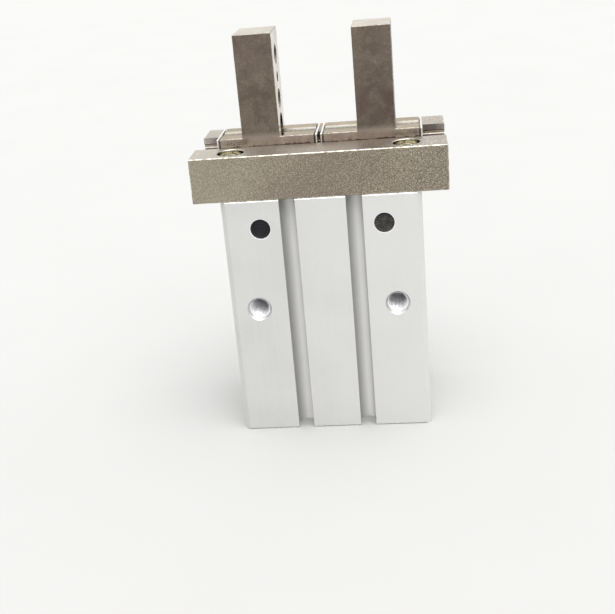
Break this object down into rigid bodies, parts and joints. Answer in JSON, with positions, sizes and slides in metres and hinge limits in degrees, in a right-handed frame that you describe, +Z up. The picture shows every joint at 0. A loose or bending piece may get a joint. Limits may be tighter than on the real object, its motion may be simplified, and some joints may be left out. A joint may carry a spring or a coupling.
{
  "type": "two-jaw parallel pneumatic gripper",
  "caption": "Compact double-acting air gripper: a block-shaped cylinder body with sensor slots and a ball guide on top, in which upright fingers slide apart in parallel, driven by levers.",
  "frame": {"origin": "centre of the rectangle under the body's bottom face, in the plane of that face", "axes": "+X along the jaws' travel, to the right seen from the port face; +Y from the port face to the back; +Z up, towards the finger tips"},
  "size_m": [0.05, 0.0268, 0.0807],
  "materials": {
    "body_alloy": "satin clear anodised, light silver",
    "guide_steel": "bead blasted, nickel tone",
    "screw_steel": "bright zinc plated",
    "pin_steel": "ground",
    "jaw_steel": "ground stainless steel",
    "plate_steel": "bright cold rolled",
    "ball_steel": "polished",
    "lever_steel": "hardened, ground",
    "rod_steel": "hard chromed",
    "piston_alloy": "machined",
    "seal_rubber": "nitrile rubber, matt",
    "magnet": "plastic bonded magnet, dull grey",
    "bumper_rubber": "urethane, matt",
    "cover_alloy": "machined, clear anodised",
    "clip_steel": "phosphated spring steel",
    "plug_black": "black, slightly glossy"
  },
  "bodies": {
    "cylinder": {"body": "body_alloy", "guide_block": "guide_steel", "guide_screws": "screw_steel", "dowel_pins": "pin_steel", "lever_pins": "pin_steel", "rod_cover": "cover_alloy", "rod_cover_oring": "seal_rubber", "rod_seal": "seal_rubber", "rod_cover_clip": "clip_steel", "rear_cover": "cover_alloy", "rear_cover_oring": "seal_rubber", "rear_cover_clip": "clip_steel", "rear_bumper": "bumper_rubber", "port_plugs": "plug_black", "passage_balls": "ball_steel"},
    "jaw_left": {"jaw_left": "jaw_steel", "end_plates_left": "plate_steel", "guide_balls_left": "ball_steel"},
    "jaw_right": {"jaw_right": "jaw_steel", "end_plates_right": "plate_steel", "guide_balls_right": "ball_steel"},
    "lever_left": {"lever_left": "lever_steel"},
    "lever_right": {"lever_right": "lever_steel"},
    "piston": {"piston_rod": "rod_steel", "piston": "piston_alloy", "piston_seal": "seal_rubber", "magnet_ring": "magnet", "piston_screw": "screw_steel", "rod_bumper": "bumper_rubber"}
  },
  "joints": [
    {"name": "jaw_left_slide", "type": "slide", "parent": "cylinder", "child": "jaw_left", "axis": [-1, 0, 0], "range_m": [0, 0.005]},
    {"name": "jaw_right_slide", "type": "slide", "parent": "cylinder", "child": "jaw_right", "axis": [1, 0, 0], "range_m": [0, 0.005]},
    {"name": "lever_left_pivot", "type": "hinge", "parent": "cylinder", "child": "lever_left", "pos_m": [-0.011, 0, 0.044], "axis": [0, -1, 0], "range_deg": [0, 23.08]},
    {"name": "lever_right_pivot", "type": "hinge", "parent": "cylinder", "child": "lever_right", "pos_m": [0.011, 0, 0.044], "axis": [0, 1, 0], "range_deg": [0, 23.08]},
    {"name": "piston_slide", "type": "slide", "parent": "cylinder", "child": "piston", "axis": [0, 0, 1], "range_m": [0, 0.0028]}
  ],
  "couplings": [
    {"joint": "jaw_right_slide", "follows": "jaw_left_slide", "ratio": 1},
    {"joint": "lever_left_pivot", "follows": "jaw_left_slide", "rad_per_m": 80.543},
    {"joint": "lever_right_pivot", "follows": "jaw_left_slide", "rad_per_m": 80.543},
    {"joint": "piston_slide", "follows": "jaw_left_slide", "ratio": 0.56}
  ]
}
